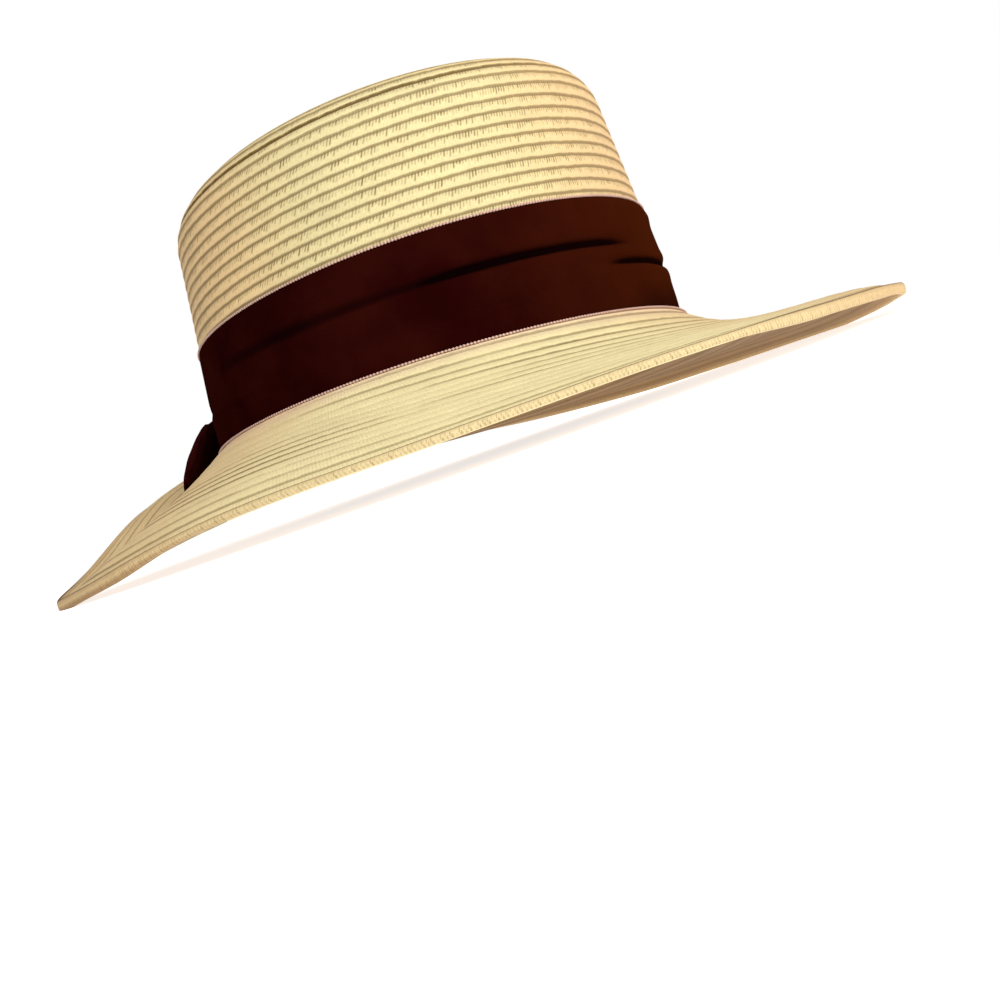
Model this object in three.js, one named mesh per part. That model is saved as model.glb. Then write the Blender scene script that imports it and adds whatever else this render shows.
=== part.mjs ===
// Braided straw sun hat with a gathered cloth band and a side bow.
// Millimetres, +Z up. The front of the hat faces -Y, and the hat rests on its brim at z = 0.
// The hat's own frame has its origin at the centre of the crown's foot, with z along the crown.
// Angles round the hat run from the front towards +X, in degrees.

import * as THREE from "three";

// Crown
const CROWN_HALF_WIDTH = 84;
const CROWN_HALF_LENGTH = 100;
const CROWN_HEIGHT = 92;
const SIDE_TAPER = 0.07; // inward lean at the sides, mm per mm of height
const END_TAPER = 0.115; // inward lean at the front and back
const SHOULDER_INSET = 15.5; // plan width of the rounding at the top
const SHOULDER_DROP = 17; // height of the rounding at the top
const TOP_SLANT = 0.08; // share by which the crown is taller on its high side
const TOP_SLANT_ANGLE = 115; // where the high side is
const STRAW_WALL = 2;
const JOIN_GAP = 0.3; // between pieces that touch

// Braid rows
const BRAID_PITCH = 4.15;
const BRAID_GROOVE = 0.6; // depth of the groove between two rows
const FIRST_ROW = 35.5; // height on the crown where the rows show, just under the band's top
const TOP_RIBS = 8; // on the flat top, one rib for two rows
const BRIM_RIBS = 17;

// Brim, one row for each station round the hat, in millimetres but for the neck.
// drop: how far the edge lies under the crown's foot. neck: downward slope at the crown.
// sag: height of the middle over (+) or under (-) a straight run. width: from crown to edge.
const BRIM_STATIONS = [
  { angle: 0, drop: 31.0, neck: 0.70, sag: -0.5, width: 68.5 },
  { angle: 22.5, drop: 30.0, neck: 0.72, sag: -2.0, width: 70.0 },
  { angle: 45, drop: 27.0, neck: 0.76, sag: -4.0, width: 72.0 },
  { angle: 67.5, drop: 23.5, neck: 0.83, sag: -5.5, width: 73.0 },
  { angle: 90, drop: 19.0, neck: 0.90, sag: -5.0, width: 74.0 },
  { angle: 112.5, drop: 15.0, neck: 0.88, sag: -4.0, width: 74.0 },
  { angle: 135, drop: 12.5, neck: 0.80, sag: -3.0, width: 74.0 },
  { angle: 157.5, drop: 8.0, neck: 0.72, sag: -2.0, width: 73.0 },
  { angle: 180, drop: 4.0, neck: 0.66, sag: -1.5, width: 72.5 },
  { angle: 202.5, drop: -2.0, neck: 0.63, sag: -1.5, width: 71.5 },
  { angle: 225, drop: -9.0, neck: 0.63, sag: -1.5, width: 70.5 },
  { angle: 247.5, drop: -15.0, neck: 0.66, sag: -1.5, width: 69.0 },
  { angle: 270, drop: -1.5, neck: 0.69, sag: -1.5, width: 67.0 },
  { angle: 292.5, drop: 20.5, neck: 0.67, sag: -3.5, width: 65.0 },
  { angle: 315, drop: 32.0, neck: 0.70, sag: -3.0, width: 65.5 },
  { angle: 337.5, drop: 34.5, neck: 0.71, sag: 0.0, width: 67.0 },
];

// Edge braid, a thicker row under the seam
const HEM_HEIGHT = 3.8;
const HEM_THICKNESS = 2.6;
const HEM_OVERHANG = 0.4; // how far it stands out past the seam
const HEM_CORNER = 0.7;

// Cloth band
const BAND_HEIGHT = 38;
const BAND_PUFF = 2.1; // outer face of the cloth, out from the straw
const BAND_TURN = 1.3; // the same at the turned edges
const BAND_RINGS = 13;
// Folds of the gathered cloth. height: where the fold's middle is, as a share of the band.
// rise: growth of that share per radian. depth: out (+) or in (-), mm. span: half width, as a
// share of the band. angle and reach: where the fold is and how far it runs, degrees.
const BAND_FOLDS = [
  { height: 0.61, rise: 0.0, depth: -1.0, span: 0.07, angle: 60, reach: 75 },
  { height: 0.73, rise: 0.0, depth: 0.9, span: 0.12, angle: 60, reach: 80 },
  { height: 0.46, rise: 0.05, depth: -0.9, span: 0.07, angle: 112, reach: 30 },
  { height: 0.34, rise: -0.08, depth: 1.0, span: 0.12, angle: 90, reach: 70 },
  { height: 0.3, rise: 0.3, depth: 0.7, span: 0.1, angle: -42, reach: 14 },
  { height: 0.33, rise: 0.1, depth: -0.9, span: 0.13, angle: -66, reach: 20 },
  { height: 0.6, rise: 0.2, depth: 0.7, span: 0.13, angle: -66, reach: 24 },
  { height: 0.5, rise: -0.1, depth: -0.9, span: 0.09, angle: -150, reach: 50 },
  { height: 0.3, rise: 0.1, depth: 0.9, span: 0.12, angle: 180, reach: 60 },
];

// Bow at the side, over the band and the brim. One row for each section, from the knot outwards.
// along: distance round the crown from the knot's middle. lift: height of the section's middle
// over the crown's foot. out: its offset from the straw. tall and deep: half height, half depth.
// lean: how far the section's foot swings out, mm per mm of height.
const BOW_ANGLE = -88;
const KNOT = [
  { along: -6.5, lift: 14.0, out: 7.0, tall: 7.5, deep: 3.0, lean: 0.05 },
  { along: -3.0, lift: 14.0, out: 8.0, tall: 10.5, deep: 4.0, lean: 0.05 },
  { along: 0.0, lift: 14.0, out: 8.4, tall: 11.0, deep: 4.4, lean: 0.05 },
  { along: 3.0, lift: 14.0, out: 8.0, tall: 10.5, deep: 4.0, lean: 0.05 },
  { along: 6.5, lift: 14.0, out: 7.0, tall: 7.5, deep: 3.0, lean: 0.05 },
];
const LOOP_FRONT = [
  { along: 7.5, lift: 13.0, out: 6.8, tall: 4.5, deep: 2.2, lean: 0.1 },
  { along: 14, lift: 10.5, out: 8.6, tall: 7.5, deep: 3.3, lean: 0.3 },
  { along: 22, lift: 7.0, out: 9.8, tall: 10.0, deep: 3.8, lean: 0.45 },
  { along: 30, lift: 4.8, out: 10.8, tall: 11.0, deep: 4.0, lean: 0.55 },
  { along: 37, lift: 4.4, out: 11.2, tall: 10.6, deep: 4.0, lean: 0.58 },
  { along: 42, lift: 4.2, out: 11.4, tall: 8.5, deep: 3.2, lean: 0.58 },
  { along: 44.5, lift: 4.2, out: 11.4, tall: 4.5, deep: 1.7, lean: 0.58 },
];
const LOOP_BACK = [
  { along: -7.5, lift: 13.5, out: 6.8, tall: 4.5, deep: 2.2, lean: 0.1 },
  { along: -14, lift: 12.5, out: 8.0, tall: 8.0, deep: 3.2, lean: 0.15 },
  { along: -22, lift: 12.0, out: 9.0, tall: 10.5, deep: 4.0, lean: 0.2 },
  { along: -30, lift: 12.0, out: 9.4, tall: 11.0, deep: 4.0, lean: 0.2 },
  { along: -37, lift: 12.5, out: 9.2, tall: 10.0, deep: 3.6, lean: 0.2 },
  { along: -42, lift: 13.0, out: 8.8, tall: 7.5, deep: 2.8, lean: 0.2 },
  { along: -44.5, lift: 13.0, out: 8.6, tall: 4.0, deep: 1.5, lean: 0.2 },
];
const BOW_SIDES = 10;

// How the hat rests: tilts in degrees, and where the middle of the crown's foot is
const BACK_TILT = 5.5;
const SIDE_TILT = -0.75;
const FOOT_SIDE = -3.6;
const FOOT_FORWARD = -0.1;
const FOOT_LIFT = 25.9;

// Facets round each piece
const CROWN_SEGMENTS = 36;
const BRIM_SEGMENTS = 40;
const BAND_SEGMENTS = 48;

const STRAW = new THREE.MeshStandardMaterial({ color: 0xe6d9a8, roughness: 0.75, metalness: 0 });
const STRAW_EDGE = new THREE.MeshStandardMaterial({ color: 0xdfcd9c, roughness: 0.75, metalness: 0 });
const BAND_CLOTH = new THREE.MeshStandardMaterial({ color: 0x2c0a0b, roughness: 0.9, metalness: 0 });
const BOW_CLOTH = new THREE.MeshStandardMaterial({ color: 0x22070a, roughness: 0.9, metalness: 0 });

const rad = THREE.MathUtils.degToRad;

// Smooth closed curve through the brim's stations, read at one angle.
function brimAt(angle, column) {
  const count = BRIM_STATIONS.length;
  const place = THREE.MathUtils.euclideanModulo(angle, 360) / (360 / count);
  const first = Math.floor(place);
  const share = place - first;
  const station = (step) => BRIM_STATIONS[(first + step + count) % count][column];
  const slopeHere = (station(1) - station(-1)) / 2;
  const slopeNext = (station(2) - station(0)) / 2;
  const gain = station(1) - station(0);
  const bend = 3 * gain - 2 * slopeHere - slopeNext;
  const twist = slopeHere + slopeNext - 2 * gain;
  return station(0) + share * (slopeHere + share * (bend + share * twist));
}

// Point on an oval of half width a and half length b, moved out along the oval's normal.
function ovalPoint(angle, a, b, out, z) {
  const s = Math.sin(rad(angle));
  const c = Math.cos(rad(angle));
  const size = Math.hypot(s / a, c / b);
  return new THREE.Vector3(a * s + (out * s) / (a * size), -b * c - (out * c) / (b * size), z);
}

// Heights on the crown grow towards its high side.
function slanted(point) {
  const towards = rad(TOP_SLANT_ANGLE);
  const side = Math.sin(towards) * point.x - Math.cos(towards) * point.y;
  point.z *= 1 + (TOP_SLANT * side) / CROWN_HALF_WIDTH;
  return point;
}

// Point over the crown's side at a height, moved out from the straw.
function overCrown(angle, height, out) {
  const a = CROWN_HALF_WIDTH - SIDE_TAPER * height;
  const b = CROWN_HALF_LENGTH - END_TAPER * height;
  return slanted(ovalPoint(angle, a, b, out, height));
}

// Point on the crown's rounded shoulder: the turn runs from 0 at the side to 90 at the top.
function overShoulder(angle, turn, lift) {
  const start = CROWN_HEIGHT - SHOULDER_DROP;
  const a = CROWN_HALF_WIDTH - SIDE_TAPER * start;
  const b = CROWN_HALF_LENGTH - END_TAPER * start;
  const inset = SHOULDER_INSET * (1 - Math.cos(rad(turn)));
  const out = lift * Math.cos(rad(turn)) - inset;
  const height = start + (SHOULDER_DROP + lift) * Math.sin(rad(turn));
  return slanted(ovalPoint(angle, a, b, out, height));
}

// Point on the flat top, at a share of the way in from the shoulder to the middle.
function overTop(angle, share, lift) {
  const start = CROWN_HEIGHT - SHOULDER_DROP;
  const a = CROWN_HALF_WIDTH - SIDE_TAPER * start - SHOULDER_INSET;
  const b = CROWN_HALF_LENGTH - END_TAPER * start - SHOULDER_INSET;
  const point = ovalPoint(angle, a, b, 0, CROWN_HEIGHT + lift);
  point.x *= 1 - share;
  point.y *= 1 - share;
  return slanted(point);
}

// Point over the brim's upper face, at a share of its width and a distance off the face.
function overBrim(angle, share, lift) {
  const width = brimAt(angle, "width") + HEM_OVERHANG - HEM_THICKNESS - JOIN_GAP;
  const drop = -brimAt(angle, "drop");
  const neck = -brimAt(angle, "neck") * width;
  const toEnd = drop - neck;
  const toMiddle = drop / 2 + brimAt(angle, "sag") - neck / 2;
  const third = 2 * toEnd - 8 * toMiddle;
  const second = toEnd - third;
  const height = share * (neck + share * (second + share * third));
  const slope = (neck + share * (2 * second + share * 3 * third)) / width;
  const face = Math.hypot(1, slope);
  const out = width * share - (lift * slope) / face;
  return ovalPoint(angle, CROWN_HALF_WIDTH, CROWN_HALF_LENGTH, out, height + lift / face);
}

// Closed surface from rings of points. Each ring is a function of the angle, and the outside is
// on the left of their path in the half plane. With two poles the first and last ring are capped,
// and without them the last ring joins the first.
function ringSurface(rings, segments, poles = []) {
  const points = [];
  for (const ring of rings) {
    for (let i = 0; i < segments; i += 1) points.push(ring((360 * i) / segments));
  }
  const at = (ring, i) => (ring % rings.length) * segments + (i % segments);
  const faces = [];
  const bands = poles.length ? rings.length - 1 : rings.length;
  for (let ring = 0; ring < bands; ring += 1) {
    for (let i = 0; i < segments; i += 1) {
      faces.push(at(ring, i), at(ring, i + 1), at(ring + 1, i + 1));
      faces.push(at(ring, i), at(ring + 1, i + 1), at(ring + 1, i));
    }
  }
  if (poles.length) {
    const last = rings.length - 1;
    for (let i = 0; i < segments; i += 1) {
      faces.push(points.length, at(0, i + 1), at(0, i));
      faces.push(points.length + 1, at(last, i), at(last, i + 1));
    }
    points.push(...poles);
  }
  const geometry = new THREE.BufferGeometry().setFromPoints(points);
  geometry.setIndex(faces);
  geometry.computeVertexNormals();
  return geometry;
}

// The crown: ribbed rows of braid outside, a smooth wall inside, open at the foot.
function crownGeometry() {
  const shoulderStart = CROWN_HEIGHT - SHOULDER_DROP;
  const shoulderLength = (Math.PI / 4) * (SHOULDER_INSET + SHOULDER_DROP);
  const rings = [(angle) => overTop(angle, 0.5, -STRAW_WALL)];
  for (const turn of [90, 60, 30, 0]) {
    rings.push((angle) => overShoulder(angle, turn, -STRAW_WALL));
  }
  rings.push((angle) => overCrown(angle, FIRST_ROW, -STRAW_WALL));
  rings.push((angle) => overCrown(angle, JOIN_GAP, -STRAW_WALL));
  rings.push((angle) => overCrown(angle, JOIN_GAP, 0));
  rings.push((angle) => overCrown(angle, FIRST_ROW - BRAID_PITCH / 2, 0));
  const halfRows = Math.round((2 * (shoulderStart + shoulderLength - FIRST_ROW)) / BRAID_PITCH);
  for (let half = 0; half < halfRows; half += 1) {
    const way = FIRST_ROW + (half * BRAID_PITCH) / 2;
    const lift = half % 2 === 0 ? -BRAID_GROOVE : 0;
    const turn = (90 * (way - shoulderStart)) / shoulderLength;
    if (turn < 0) rings.push((angle) => overCrown(angle, way, lift));
    else rings.push((angle) => overShoulder(angle, turn, lift));
  }
  for (let half = 0; half < 2 * TOP_RIBS; half += 1) {
    const lift = half % 2 === 0 ? -BRAID_GROOVE : 0;
    rings.push((angle) => overTop(angle, half / (2 * TOP_RIBS), lift));
  }
  const inside = new THREE.Vector3(0, 0, CROWN_HEIGHT - STRAW_WALL);
  const outside = new THREE.Vector3(0, 0, CROWN_HEIGHT - BRAID_GROOVE);
  return ringSurface(rings, CROWN_SEGMENTS, [inside, outside]);
}

// The brim: ribbed above, smooth below, with an inner ring that lies under the crown's foot.
function brimGeometry() {
  const rings = [];
  for (let half = 2 * BRIM_RIBS; half > 0; half -= 1) {
    const lift = half % 2 === 0 ? -BRAID_GROOVE : 0;
    rings.push((angle) => overBrim(angle, half / (2 * BRIM_RIBS), lift));
  }
  const foot = (angle, out, z) => ovalPoint(angle, CROWN_HALF_WIDTH, CROWN_HALF_LENGTH, out, z);
  rings.push((angle) => foot(angle, 0, 0));
  rings.push((angle) => foot(angle, -STRAW_WALL, 0));
  rings.push((angle) => foot(angle, -STRAW_WALL, -STRAW_WALL));
  for (const share of [0.06, 0.2, 0.4, 0.6, 0.8, 1]) {
    rings.push((angle) => overBrim(angle, share, -STRAW_WALL));
  }
  return ringSurface(rings, BRIM_SEGMENTS);
}

// The edge braid: a ring of rounded section hanging from the seam, flattened where it rests.
function hemGeometry() {
  const halfHeight = HEM_HEIGHT / 2;
  const halfThick = HEM_THICKNESS / 2;
  const section = [
    [halfThick, HEM_CORNER - halfHeight],
    [halfThick, halfHeight - HEM_CORNER],
    [halfThick - HEM_CORNER, halfHeight],
    [HEM_CORNER - halfThick, halfHeight],
    [-halfThick, halfHeight - HEM_CORNER],
    [-halfThick, HEM_CORNER - halfHeight],
    [HEM_CORNER - halfThick, -halfHeight],
    [halfThick - HEM_CORNER, -halfHeight],
  ];
  const rings = section.map(([across, up]) => (angle) => {
    const out = brimAt(angle, "width") + HEM_OVERHANG - halfThick + across;
    const z = up - brimAt(angle, "drop") - halfHeight;
    return ovalPoint(angle, CROWN_HALF_WIDTH, CROWN_HALF_LENGTH, out, z);
  });
  return ringSurface(rings, BRIM_SEGMENTS);
}

// How far the cloth stands out from the straw at a share of the band's height.
function bandPuff(angle, share) {
  let puff = BAND_TURN + (BAND_PUFF - BAND_TURN) * Math.sin(Math.PI * share) ** 0.5;
  for (const fold of BAND_FOLDS) {
    const away = THREE.MathUtils.euclideanModulo(angle - fold.angle + 180, 360) - 180;
    const middle = fold.height + fold.rise * rad(away);
    const across = (share - middle) / fold.span;
    const round = away / fold.reach;
    puff += fold.depth * Math.exp(-across * across - round * round);
  }
  return Math.max(puff, BAND_TURN);
}

// The band: a sleeve of soft cloth round the crown's foot.
function bandGeometry() {
  const rings = [];
  for (let step = 0; step < BAND_RINGS; step += 1) {
    const share = step / (BAND_RINGS - 1);
    const height = 2 * JOIN_GAP + share * (BAND_HEIGHT - 2 * JOIN_GAP);
    rings.push((angle) => overCrown(angle, height, bandPuff(angle, share)));
  }
  const inner = JOIN_GAP;
  rings.push((angle) => overCrown(angle, BAND_HEIGHT, inner));
  rings.push((angle) => overCrown(angle, 2 * JOIN_GAP, inner));
  return ringSurface(rings, BAND_SEGMENTS);
}

// A soft form with oval sections along the crown's side, used for the knot and the loops.
function bowGeometry(sections) {
  const rounded = CROWN_HALF_WIDTH + CROWN_HALF_LENGTH;
  const forward = sections[0].along < sections[sections.length - 1].along;
  const place = (section, tall, deep) => {
    const angle = BOW_ANGLE + THREE.MathUtils.radToDeg((2 * section.along) / rounded);
    return overCrown(angle, section.lift + tall, section.out + deep - section.lean * tall);
  };
  const rings = sections.map((section) => (turn) => {
    const [first, second] = [Math.cos(rad(turn)), Math.sin(rad(turn))];
    const tall = section.tall * (forward ? first : second);
    const deep = section.deep * (forward ? second : first);
    return place(section, tall, deep);
  });
  const poles = [place(sections[0], 0, 0), place(sections[sections.length - 1], 0, 0)];
  return ringSurface(rings, BOW_SIDES, poles);
}

// Moves a piece to where the hat rests, and presses flat what would reach under the floor.
const resting = new THREE.Matrix4()
  .makeRotationFromEuler(new THREE.Euler(rad(-BACK_TILT), rad(SIDE_TILT), 0))
  .setPosition(FOOT_SIDE, FOOT_FORWARD, FOOT_LIFT);

function settled(geometry) {
  geometry.applyMatrix4(resting);
  const position = geometry.getAttribute("position");
  for (let i = 0; i < position.count; i += 1) position.setZ(i, Math.max(position.getZ(i), 0));
  return geometry;
}

const hat = new THREE.Group();

function addPiece(name, geometry, material) {
  const piece = new THREE.Mesh(settled(geometry), material);
  piece.name = name;
  hat.add(piece);
}

addPiece("crown", crownGeometry(), STRAW);
addPiece("brim", brimGeometry(), STRAW);
addPiece("brim_hem", hemGeometry(), STRAW_EDGE);
addPiece("hat_band", bandGeometry(), BAND_CLOTH);
addPiece("bow_knot", bowGeometry(KNOT), BOW_CLOTH);
addPiece("bow_loop_front", bowGeometry(LOOP_FRONT), BOW_CLOTH);
addPiece("bow_loop_back", bowGeometry(LOOP_BACK), BOW_CLOTH);

export default hat;
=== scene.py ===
# %% [markdown]
# # A braided straw sun hat
# This lesson dresses a plain model of a sun hat until it looks real. The plain model holds the
# true sizes and is loaded as a fixed frame. Every new piece goes where the frame says.
# All places are in metres, with +Z up, and the front of the hat faces -Y.

# %% Load the frame
import math

import bpy
import numpy as np
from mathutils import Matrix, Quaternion, Vector


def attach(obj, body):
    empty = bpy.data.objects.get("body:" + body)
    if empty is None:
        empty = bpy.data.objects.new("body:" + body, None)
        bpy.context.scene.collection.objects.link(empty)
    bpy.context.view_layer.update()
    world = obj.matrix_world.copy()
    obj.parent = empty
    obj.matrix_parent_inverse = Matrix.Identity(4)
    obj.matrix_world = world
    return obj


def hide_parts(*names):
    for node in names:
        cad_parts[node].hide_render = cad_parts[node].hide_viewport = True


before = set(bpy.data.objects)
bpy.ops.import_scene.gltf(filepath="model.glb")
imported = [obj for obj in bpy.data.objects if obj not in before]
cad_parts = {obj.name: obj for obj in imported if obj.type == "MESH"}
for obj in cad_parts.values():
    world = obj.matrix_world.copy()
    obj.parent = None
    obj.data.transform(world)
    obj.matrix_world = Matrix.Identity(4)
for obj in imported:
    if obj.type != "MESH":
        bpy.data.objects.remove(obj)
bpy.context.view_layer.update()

print("frame pieces:", sorted(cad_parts))

# %% [markdown]
# ## The hat's own shape
# The crown is an oval that leans in as it rises, then turns over a rounded shoulder to a flat
# top. The brim is wavy: its height, slope and width change round the hat. Both are easiest to
# describe with a few sizes and a short table, in millimetres, in the hat's own frame. That
# frame has its origin at the middle of the crown's foot. Angles run from the front towards +X.

# %% Sizes of the crown and the brim
MM = 0.001
HALF_WIDTH = 84.0
HALF_LENGTH = 100.0
CROWN_HEIGHT = 92.0
SIDE_TAPER = 0.07
END_TAPER = 0.115
SHOULDER_INSET = 15.5
SHOULDER_DROP = 17.0
TOP_SLANT = 0.08
TOP_SLANT_ANGLE = math.radians(115)
STRAW_WALL = 2.0
JOIN_GAP = 0.3

# drop: how far the edge lies under the crown's foot. neck: downward slope at the crown.
# sag: height of the middle over (+) or under (-) a straight run. width: from crown to edge.
BRIM_COLUMNS = ("drop", "neck", "sag", "width")
BRIM_STATIONS = [
    (31.0, 0.70, -0.5, 68.5),
    (30.0, 0.72, -2.0, 70.0),
    (27.0, 0.76, -4.0, 72.0),
    (23.5, 0.83, -5.5, 73.0),
    (19.0, 0.90, -5.0, 74.0),
    (15.0, 0.88, -4.0, 74.0),
    (12.5, 0.80, -3.0, 74.0),
    (8.0, 0.72, -2.0, 73.0),
    (4.0, 0.66, -1.5, 72.5),
    (-2.0, 0.63, -1.5, 71.5),
    (-9.0, 0.63, -1.5, 70.5),
    (-15.0, 0.66, -1.5, 69.0),
    (-1.5, 0.69, -1.5, 67.0),
    (20.5, 0.67, -3.5, 65.0),
    (32.0, 0.70, -3.0, 65.5),
    (34.5, 0.71, 0.0, 67.0),
]
HEM_HEIGHT = 3.8
HEM_THICKNESS = 2.6
HEM_OVERHANG = 0.4
BAND_HEIGHT = 38.0
print("brim stations:", len(BRIM_STATIONS))

# %% [markdown]
# ## Places on the hat
# A hatter finds a place on a hat by how far round it is, how far up or out, and how far off the
# straw. The brim's wave could be sculpted by hand, but then the braid, the band and the edge
# would each have to be fitted to it by eye. With one set of formulas they meet by themselves.
# The last formula tips the hat back until its brim rests on the floor.

# %% Points on the hat
def brim_at(angle, column):
    """A smooth closed curve through the brim's stations, read at angles in degrees."""
    values = np.array(BRIM_STATIONS)[:, BRIM_COLUMNS.index(column)]
    count = len(values)
    place = np.mod(angle, 360) / (360 / count)
    first = np.floor(place).astype(int)
    share = place - first
    before, here, after, next_one = (values[(first + step) % count] for step in (-1, 0, 1, 2))
    slope_here = (after - before) / 2
    slope_after = (next_one - here) / 2
    gain = after - here
    bend = 3 * gain - 2 * slope_here - slope_after
    twist = slope_here + slope_after - 2 * gain
    return here + share * (slope_here + share * (bend + share * twist))


def oval(angle, half_width, half_length, out, height):
    """Points on an oval, moved out along its normal."""
    s, c = np.sin(np.radians(angle)), np.cos(np.radians(angle))
    size = np.hypot(s / half_width, c / half_length)
    x = half_width * s + out * s / (half_width * size)
    y = -half_length * c - out * c / (half_length * size)
    return np.stack(np.broadcast_arrays(x, y, height), -1)


def slanted(points):
    """Heights on the crown grow towards its high side."""
    side = math.sin(TOP_SLANT_ANGLE) * points[..., 0] - math.cos(TOP_SLANT_ANGLE) * points[..., 1]
    points = points.copy()
    points[..., 2] *= 1 + TOP_SLANT * side / HALF_WIDTH
    return points


def over_crown(angle, height, out):
    """Points over the crown's side, at a height and a distance out from the straw."""
    half_width = HALF_WIDTH - SIDE_TAPER * height
    half_length = HALF_LENGTH - END_TAPER * height
    return slanted(oval(angle, half_width, half_length, out, height))


SHOULDER_START = CROWN_HEIGHT - SHOULDER_DROP
SHOULDER_LENGTH = math.pi / 4 * (SHOULDER_INSET + SHOULDER_DROP)
TOP_LENGTH = 69.5


def over_straw(angle, way, lift):
    """Points on the crown along the way from its foot, over the shoulder, to the top's middle."""
    shoulder_width = HALF_WIDTH - SIDE_TAPER * SHOULDER_START
    shoulder_length = HALF_LENGTH - END_TAPER * SHOULDER_START
    side = over_crown(angle, np.minimum(way, SHOULDER_START), lift)
    turn = np.clip((way - SHOULDER_START) / SHOULDER_LENGTH, 0, 1) * math.pi / 2
    out = lift * np.cos(turn) - SHOULDER_INSET * (1 - np.cos(turn))
    height = SHOULDER_START + (SHOULDER_DROP + lift) * np.sin(turn)
    shoulder = slanted(oval(angle, shoulder_width, shoulder_length, out, height))
    share = np.clip((way - SHOULDER_START - SHOULDER_LENGTH) / TOP_LENGTH, 0, 1)
    top = oval(angle, shoulder_width - SHOULDER_INSET, shoulder_length - SHOULDER_INSET, 0,
               CROWN_HEIGHT + lift)
    top[..., 0] *= 1 - share
    top[..., 1] *= 1 - share
    on_side = (way < SHOULDER_START)[..., None]
    on_top = (share > 0)[..., None]
    return np.where(on_side, side, np.where(on_top, slanted(top), shoulder))


def over_brim(angle, share, lift):
    """Points over the brim's upper face, from the crown (share 0) to the seam (share 1)."""
    width = brim_at(angle, "width") + HEM_OVERHANG - HEM_THICKNESS - JOIN_GAP
    drop = -brim_at(angle, "drop")
    neck = -brim_at(angle, "neck") * width
    to_end = drop - neck
    to_middle = drop / 2 + brim_at(angle, "sag") - neck / 2
    third = 2 * to_end - 8 * to_middle
    second = to_end - third
    on = np.maximum(share, 0)
    height = on * (neck + on * (second + on * third))
    slope = (neck + on * (2 * second + on * 3 * third)) / width
    face = np.hypot(1, slope)
    out = np.maximum(width * share, -STRAW_WALL) - lift * slope / face
    return oval(angle, HALF_WIDTH, HALF_LENGTH, out, height + lift / face)


BACK_TILT = math.radians(5.5)
SIDE_TILT = math.radians(-0.75)
FOOT = np.array([-3.6, -0.1, 25.9])


def resting(points):
    """From the hat's own frame to where it rests on the floor, in metres."""
    lean = np.array([[1, 0, 0],
                     [0, math.cos(BACK_TILT), math.sin(BACK_TILT)],
                     [0, -math.sin(BACK_TILT), math.cos(BACK_TILT)]])
    roll = np.array([[math.cos(SIDE_TILT), 0, math.sin(SIDE_TILT)],
                     [0, 1, 0],
                     [-math.sin(SIDE_TILT), 0, math.cos(SIDE_TILT)]])
    placed = points @ (lean @ roll).T + FOOT
    placed[..., 2] = np.maximum(placed[..., 2], 0)
    return placed * MM


high_point = resting(over_straw(np.degrees([TOP_SLANT_ANGLE]),
                                np.array([SHOULDER_START + SHOULDER_LENGTH]), 0.0))[0]
print("crown's high point:", high_point.round(4))

# %% [markdown]
# ## A helper that lays a strip of mesh
# Braid, band and edge are all long strips. A grid primitive is a strip lying flat: one side
# counts the steps along, the other the steps across. An operator can't roll it into a spiral,
# so each point is put in place by a formula, and the operators then merge and thicken it.

# %% Lay a grid primitive as a strip
def deselect_all():
    if bpy.context.object and bpy.context.object.mode != "OBJECT":
        bpy.ops.object.mode_set(mode="OBJECT")
    bpy.ops.object.select_all(action="DESELECT")


def pick(piece):
    """Selects one piece alone and makes it the active one."""
    deselect_all()
    piece.select_set(True)
    bpy.context.view_layer.objects.active = piece


def paint(mesh, name, values):
    """Keeps one number for each point of the mesh, for a material to read by name."""
    mesh.attributes.new(name, "FLOAT", "POINT").data.foreach_set("value", values)


def strip(name, steps, across, place, paints=None):
    """A grid of steps by len(across) lines. place(step, share) gives points in metres.

    Its UV map holds millimetres along the strip's middle, and the share across it."""
    deselect_all()
    rows = len(across) - 1
    bpy.ops.mesh.primitive_grid_add(x_subdivisions=steps, y_subdivisions=rows, size=1,
                                    calc_uvs=True)
    piece = bpy.context.object
    piece.name = piece.data.name = name
    mesh = piece.data
    flat = np.zeros(len(mesh.vertices) * 3, np.float32)
    mesh.vertices.foreach_get("co", flat)
    flat = flat.reshape(-1, 3).astype(float)
    step = np.rint((flat[:, 0] + 0.5) * steps)
    share = np.array(across)[np.rint((flat[:, 1] + 0.5) * rows).astype(int)]
    mesh.vertices.foreach_set("co", place(step, share).astype(np.float32).ravel())
    for key, rule in (paints or {}).items():
        paint(mesh, key, rule(step, share).astype(np.float32))
    middle = place(np.arange(steps + 1.0), np.full(steps + 1, 0.5))
    run = np.linalg.norm(np.diff(middle, axis=0), axis=1)
    along = np.concatenate([[0.0], np.cumsum(run)]) / MM
    corner = np.zeros(len(mesh.loops), np.int32)
    mesh.loops.foreach_get("vertex_index", corner)
    uv = np.stack([along[step.astype(int)], share], -1)[corner]
    mesh.uv_layers[0].data.foreach_set("uv", uv.astype(np.float32).ravel())
    mesh.update()
    return piece


def two_faces(piece):
    """Two material slots: the first for the outer face, the second for the inner one."""
    pick(piece)
    bpy.ops.object.material_slot_add()
    bpy.ops.object.material_slot_add()


MERGE_WITHIN = 2e-6
SLIVER = 1e-6


def close_seams(piece, drop_slivers):
    """Merges the strip's meeting edges and turns its faces all one way."""
    pick(piece)
    bpy.ops.object.mode_set(mode="EDIT")
    bpy.ops.mesh.select_all(action="SELECT")
    bpy.ops.mesh.remove_doubles(threshold=MERGE_WITHIN)
    if drop_slivers:
        bpy.ops.mesh.dissolve_degenerate(threshold=SLIVER)
    bpy.ops.mesh.normals_make_consistent(inside=False)
    bpy.ops.object.mode_set(mode="OBJECT")


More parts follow.
